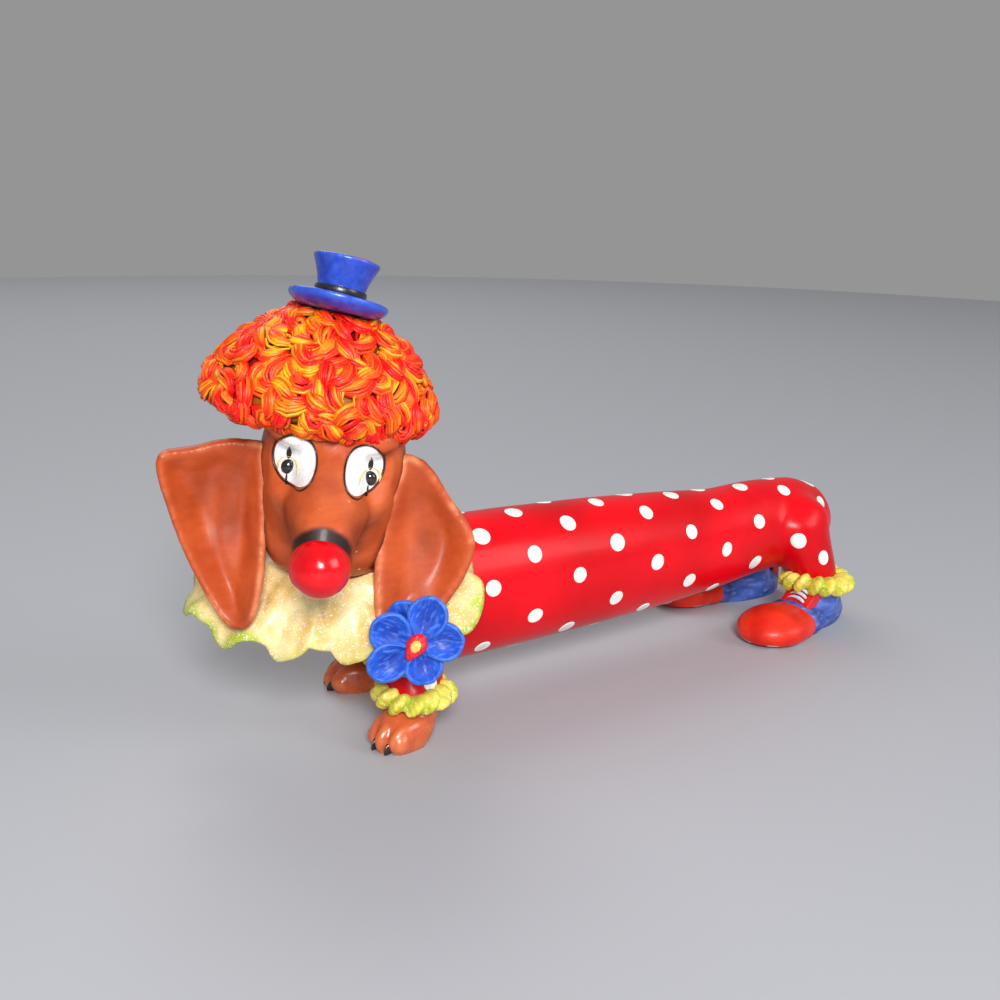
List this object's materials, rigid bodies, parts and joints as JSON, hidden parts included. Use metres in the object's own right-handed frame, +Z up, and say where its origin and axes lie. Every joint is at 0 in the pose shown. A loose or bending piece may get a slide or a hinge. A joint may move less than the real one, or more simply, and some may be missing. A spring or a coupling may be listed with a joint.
{
  "type": "dog figurine",
  "caption": "Cast, hand-painted long-bodied dog figurine in clown dress that stands free on its paws and shoes.",
  "frame": {"origin": "on the ground under the middle of the figurine's bounding box", "axes": "+Z up, +X towards the tail, the dog's left side towards -Y"},
  "size_m": [0.2002, 0.0626, 0.1062],
  "materials": {
    "suit_red": "gloss",
    "fur_brown": "satin",
    "wig_curls": "satin",
    "hat_blue": "gloss",
    "hat_band_black": "satin",
    "nose_red": "gloss",
    "eye_white": "satin",
    "pupil_black": "gloss",
    "ruff_yellow": "glitter",
    "cuff_yellow": "satin",
    "petal_blue": "gloss",
    "heart_red": "satin",
    "bead_cream": "satin",
    "paw_brown": "satin",
    "claw_black": "satin",
    "toe_orange": "satin",
    "shoe_blue": "satin",
    "shoe_red": "satin",
    "lace_white": "satin"
  },
  "bodies": {
    "root": {"head": "fur_brown", "nose_ball": "nose_red", "left_ear": "fur_brown", "right_ear": "fur_brown", "left_eye_patch": "eye_white", "right_eye_patch": "eye_white", "left_pupil": "pupil_black", "right_pupil": "pupil_black", "wig": "wig_curls", "hat_brim": "hat_blue", "hat_crown": "hat_blue", "hat_band": "hat_band_black", "torso": "suit_red", "neck": "fur_brown", "ruff": "ruff_yellow", "flower_backing": "petal_blue", "flower_heart": "heart_red", "flower_bead": "bead_cream", "tail": "fur_brown", "flower_petal_1": "petal_blue", "flower_petal_2": "petal_blue", "flower_petal_3": "petal_blue", "flower_petal_4": "petal_blue", "flower_petal_5": "petal_blue", "left_sleeve": "suit_red", "left_trouser_leg": "suit_red", "left_front_cuff": "cuff_yellow", "left_rear_cuff": "cuff_yellow", "left_paw": "paw_brown", "left_claw_1": "claw_black", "left_claw_2": "claw_black", "left_shoe_toe": "toe_orange", "left_shoe_upper": "shoe_blue", "left_shoe_heel": "shoe_red", "left_shoe_tongue": "shoe_red", "left_shoe_lace_1": "lace_white", "left_shoe_lace_2": "lace_white", "left_shoe_lace_3": "lace_white", "right_sleeve": "suit_red", "right_trouser_leg": "suit_red", "right_front_cuff": "cuff_yellow", "right_rear_cuff": "cuff_yellow", "right_paw": "paw_brown", "right_claw_1": "claw_black", "right_claw_2": "claw_black", "right_shoe_toe": "toe_orange", "right_shoe_upper": "shoe_blue", "right_shoe_heel": "shoe_red", "right_shoe_tongue": "shoe_red", "right_shoe_lace_1": "lace_white", "right_shoe_lace_2": "lace_white", "right_shoe_lace_3": "lace_white"}
  },
  "joints": []
}
